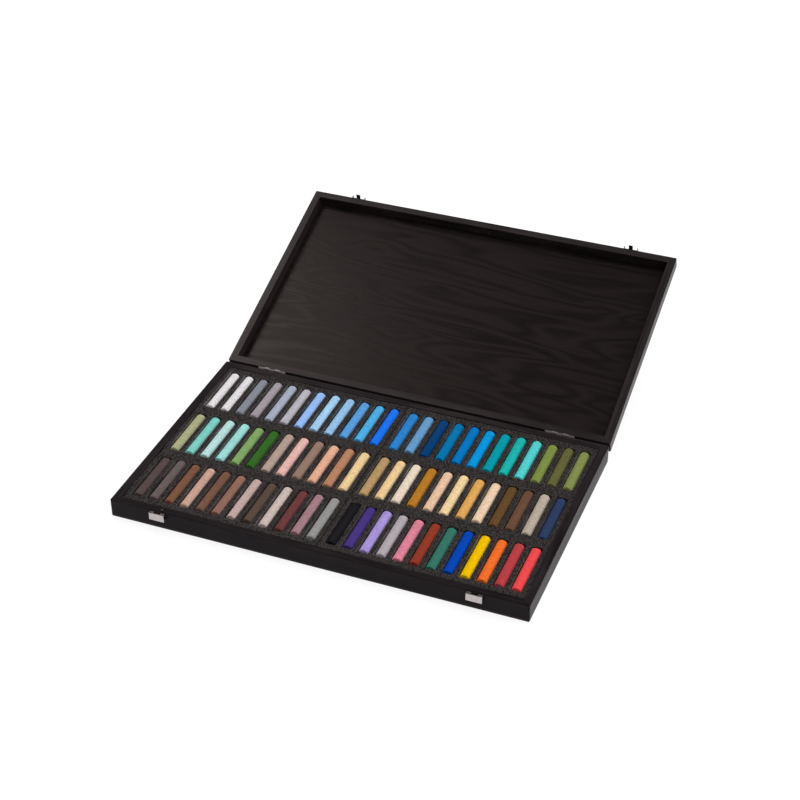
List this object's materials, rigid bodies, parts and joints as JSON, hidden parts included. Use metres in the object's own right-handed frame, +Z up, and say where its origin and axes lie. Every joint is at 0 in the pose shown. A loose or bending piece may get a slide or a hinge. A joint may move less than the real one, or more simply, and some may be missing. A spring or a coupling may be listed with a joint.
{
  "type": "hinged pastel case",
  "caption": "Shallow black-stained wooden case with a hinged lid, standing open, with round soft pastels in two slotted foam trays.",
  "frame": {"origin": "middle of the base's underside", "axes": "+Z up from the underside, +Y to the hinged back, +X to the right as seen from the latch side"},
  "size_m": [0.43, 0.5185, 0.1067],
  "materials": {
    "stained_wood": "black stain, satin, fine grain",
    "stained_plywood": "black stain, satin, plain-sawn grain",
    "nickel": "nickel plate, slightly brushed",
    "nickel_hinge": "nickel plate, satin",
    "blackened_steel": "black, satin",
    "spring_steel": "bright",
    "foam": "black open-cell foam",
    "pastel_blues": "chalky, matte, individually coloured",
    "pastel_teals": "chalky, matte, individually coloured",
    "pastel_greens": "chalky, matte, individually coloured",
    "pastel_ochres": "chalky, matte, individually coloured",
    "pastel_earths": "chalky, matte, individually coloured",
    "pastel_brights": "chalky, matte, individually coloured"
  },
  "bodies": {
    "case_base": {"base_back_rail": "stained_wood", "base_bottom_panel": "stained_plywood", "base_front_rail": "stained_wood", "base_hinge_leaf_left": "nickel_hinge", "base_hinge_leaf_right": "nickel_hinge", "base_hinge_screws": "nickel_hinge", "base_left_rail": "stained_wood", "base_right_rail": "stained_wood", "hinge_pin_left": "nickel_hinge", "hinge_pin_right": "nickel_hinge", "latch_bracket_left": "nickel", "latch_bracket_right": "nickel", "latch_nails": "nickel", "latch_pin_left": "nickel", "latch_pin_right": "nickel", "latch_spring_left": "spring_steel", "latch_spring_right": "spring_steel"},
    "lid": {"latch_strike_left": "nickel", "latch_strike_right": "nickel", "lid_back_rail": "stained_wood", "lid_front_rail": "stained_wood", "lid_hinge_leaf_left": "nickel_hinge", "lid_hinge_leaf_right": "nickel_hinge", "lid_hinge_screws": "nickel_hinge", "lid_left_rail": "stained_wood", "lid_right_rail": "stained_wood", "lid_top_panel": "stained_plywood", "strike_hook_left": "blackened_steel", "strike_hook_right": "blackened_steel", "strike_nails": "nickel"},
    "lever_left": {"latch_lever_left": "nickel"},
    "lever_right": {"latch_lever_right": "nickel"},
    "tray_left": {"foam_backing_left": "foam", "foam_tray_left": "foam", "pastels_back_left": "pastel_blues", "pastels_middle_left": "pastel_greens", "pastels_front_left": "pastel_earths"},
    "tray_right": {"foam_backing_right": "foam", "foam_tray_right": "foam", "pastels_back_right": "pastel_teals", "pastels_middle_right": "pastel_ochres", "pastels_front_right": "pastel_brights"}
  },
  "joints": [
    {"name": "lid_hinge", "type": "hinge", "parent": "case_base", "child": "lid", "pos_m": [0, 0.1316, 0.0193], "axis": [-1, 0, 0], "range_deg": [-161.3, 18.7]},
    {"name": "lever_left_pivot", "type": "hinge", "parent": "case_base", "child": "lever_left", "pos_m": [-0.16246, -0.1316, 0.0126], "axis": [1, 0, 0], "range_deg": [0, 65], "stiffness_Nm_per_rad": 0.005, "springref_deg": -11.46},
    {"name": "lever_right_pivot", "type": "hinge", "parent": "case_base", "child": "lever_right", "pos_m": [0.16246, -0.1316, 0.0126], "axis": [1, 0, 0], "range_deg": [0, 65], "stiffness_Nm_per_rad": 0.005, "springref_deg": -11.46},
    {"name": "tray_left_lift", "type": "slide", "parent": "case_base", "child": "tray_left", "axis": [0, 0, 1], "range_m": [0, 0.02]},
    {"name": "tray_right_lift", "type": "slide", "parent": "case_base", "child": "tray_right", "axis": [0, 0, 1], "range_m": [0, 0.02]}
  ]
}
